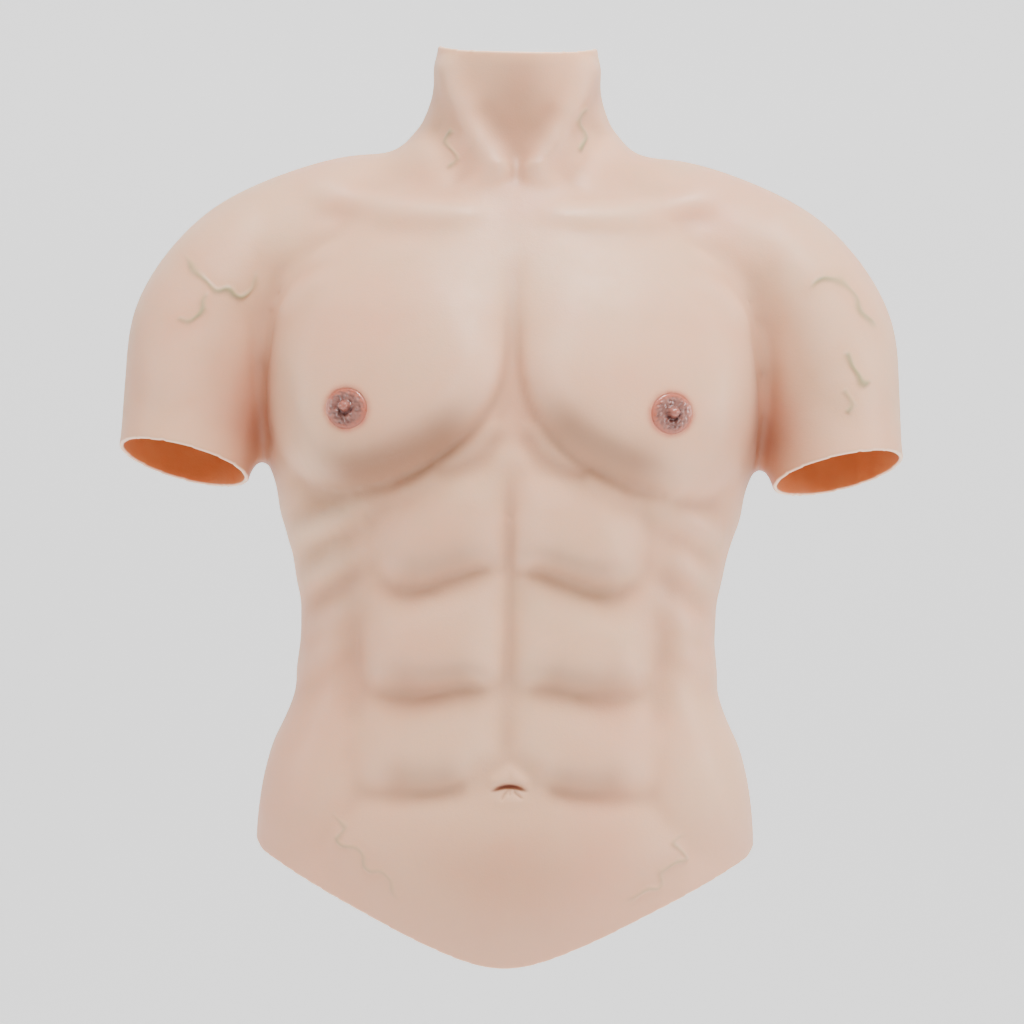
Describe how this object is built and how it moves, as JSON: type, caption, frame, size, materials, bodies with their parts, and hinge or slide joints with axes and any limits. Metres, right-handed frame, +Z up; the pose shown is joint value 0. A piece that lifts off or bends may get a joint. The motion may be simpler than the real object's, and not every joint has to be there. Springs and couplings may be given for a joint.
{
  "type": "silicone muscle body top",
  "caption": "Hollow, wearable silicone torso skin with sculpted chest and belly, collar, short sleeves, V-shaped hem and a back zipper; soft pads shape it from behind.",
  "frame": {"origin": "middle of the neck at the height of the wearer's shoulders, where the top is carried", "axes": "+Z up, +X to the wearer's left, -Y to the front"},
  "size_m": [0.5298, 0.2311, 0.6161],
  "materials": {
    "skin": "satin cast silicone, pale skin",
    "areola": "glossy pigmented silicone, brown-pink",
    "pad": "matt soft silicone foam, off-white",
    "backing": "thin knitted nylon, skin tone",
    "tape": "woven zipper tape, skin tone",
    "teeth": "moulded acetal, skin tone",
    "slider": "enamelled zinc, skin tone"
  },
  "bodies": {
    "top": {"torso_skin": "skin", "areola_left": "areola", "areola_right": "areola", "pad_backing": "backing", "pectoral_pad_left": "pad", "pectoral_pad_right": "pad", "upper_ab_pad_left": "pad", "upper_ab_pad_right": "pad", "middle_ab_pad_left": "pad", "middle_ab_pad_right": "pad", "lower_ab_pad_left": "pad", "lower_ab_pad_right": "pad", "rib_pad_left": "pad", "rib_pad_right": "pad", "oblique_pad_left": "pad", "oblique_pad_right": "pad", "shoulder_pad_left": "pad", "shoulder_pad_right": "pad", "belly_pad": "pad", "zipper_tape_left": "tape", "zipper_tape_right": "tape", "zipper_teeth_left": "teeth", "zipper_teeth_right": "teeth", "zipper_top_stop_left": "teeth", "zipper_top_stop_right": "teeth", "zipper_bottom_stop": "teeth"},
    "slider": {"zipper_slider": "slider"},
    "pull_tab": {"zipper_pull_tab": "slider"}
  },
  "joints": [
    {"name": "zipper_travel", "type": "hinge", "parent": "top", "child": "slider", "pos_m": [0, -0.368, -0.17], "axis": [-1, 0, 0], "range_deg": [0, 42.2], "deforming": ["zipper_teeth_left", "zipper_teeth_right", "zipper_tape_left", "zipper_tape_right"]},
    {"name": "pull_tab_swing", "type": "hinge", "parent": "slider", "child": "pull_tab", "pos_m": [0, 0.06241, 0.04384], "axis": [1, 0, 0], "range_deg": [0, 150]}
  ]
}
